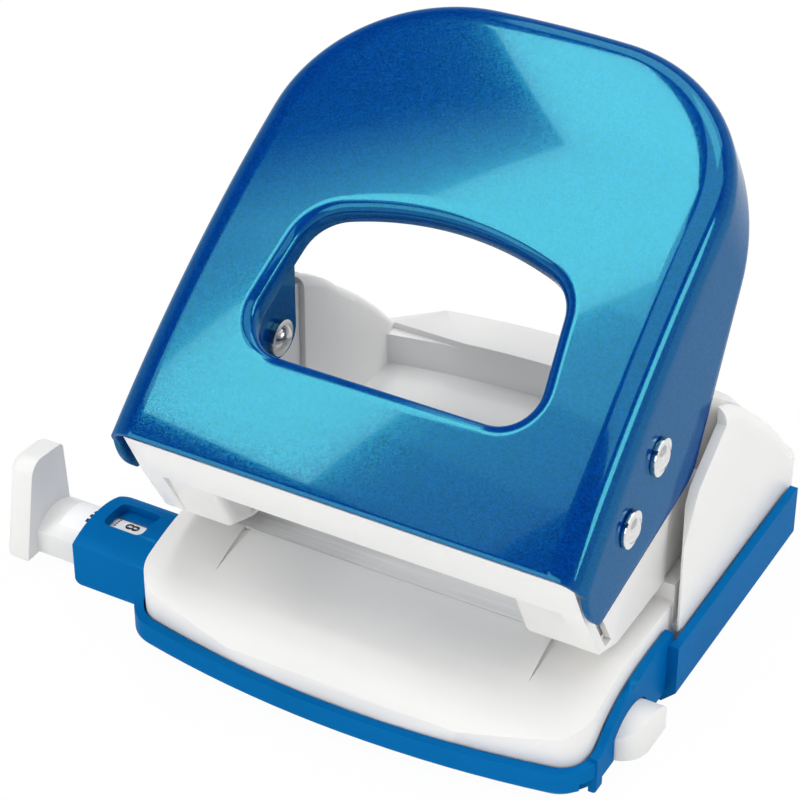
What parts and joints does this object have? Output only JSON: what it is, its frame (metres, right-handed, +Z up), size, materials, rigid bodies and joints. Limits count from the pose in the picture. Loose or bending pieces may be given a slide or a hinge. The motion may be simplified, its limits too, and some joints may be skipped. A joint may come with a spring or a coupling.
{
  "type": "hole punch",
  "caption": "Desktop paper hole punch with a curved pressed-metal lever, sprung punches, a white base, a blue chip tray that swings open and a sliding paper guide.",
  "frame": {"origin": "on the resting plane, midway between the two punch axes", "axes": "+X to the right of a user in front, +Y towards the rear, +Z up"},
  "size_m": [0.145, 0.1146, 0.1141],
  "materials": {
    "blue_metal": "metallic blue lacquer with a gloss clear coat",
    "white_plastic": "smooth warm white moulding",
    "blue_plastic": "satin blue moulding",
    "steel_plate": "rolled steel",
    "dark_steel": "oiled steel",
    "tool_steel": "ground steel",
    "spring_steel": "drawn wire",
    "bright_metal": "polished and plated",
    "label_paper": "printed strip"
  },
  "bodies": {
    "base": {"base_shell": "white_plastic", "bridge_cover": "white_plastic", "bridge_frame": "steel_plate", "die_plate": "steel_plate", "left_guide_bush": "dark_steel", "right_guide_bush": "dark_steel", "frame_screws": "dark_steel", "left_spring_seat": "dark_steel", "right_spring_seat": "dark_steel", "left_spring": "spring_steel", "right_spring": "spring_steel"},
    "lever": {"lever_shell": "blue_metal", "pivot_rivets": "bright_metal", "pivot_washers": "steel_plate", "drive_pins": "bright_metal", "drive_clips": "bright_metal"},
    "left_punch_set": {"left_punch": "tool_steel", "left_punch_head": "tool_steel"},
    "right_punch_set": {"right_punch": "tool_steel", "right_punch_head": "tool_steel"},
    "tray": {"chip_tray": "blue_plastic", "tray_hinge_pin": "dark_steel"},
    "guide": {"guide_rail": "white_plastic", "format_label": "label_paper"}
  },
  "joints": [
    {"name": "lever_press", "type": "hinge", "parent": "base", "child": "lever", "pos_m": [0, -0.0128, 0.0552], "axis": [-1, 0, 0], "range_deg": [0, 26], "stiffness_Nm_per_rad": 0.8, "springref_deg": -20.05},
    {"name": "left_punch_slide", "type": "slide", "parent": "base", "child": "left_punch_set", "axis": [0, 0, -1], "range_m": [0, 0.0066], "deforming": ["left_spring"]},
    {"name": "right_punch_slide", "type": "slide", "parent": "base", "child": "right_punch_set", "axis": [0, 0, -1], "range_m": [0, 0.0066], "deforming": ["right_spring"]},
    {"name": "tray_swing", "type": "hinge", "parent": "base", "child": "tray", "pos_m": [0, 0.0702, 0.014], "axis": [1, 0, 0], "range_deg": [0, 60]},
    {"name": "guide_slide", "type": "slide", "parent": "tray", "child": "guide", "axis": [-1, 0, 0], "range_m": [0, 0.0675]}
  ],
  "couplings": [
    {"joint": "left_punch_slide", "follows": "lever_press", "m_per_rad": 0.014172},
    {"joint": "right_punch_slide", "follows": "lever_press", "m_per_rad": 0.014172}
  ]
}
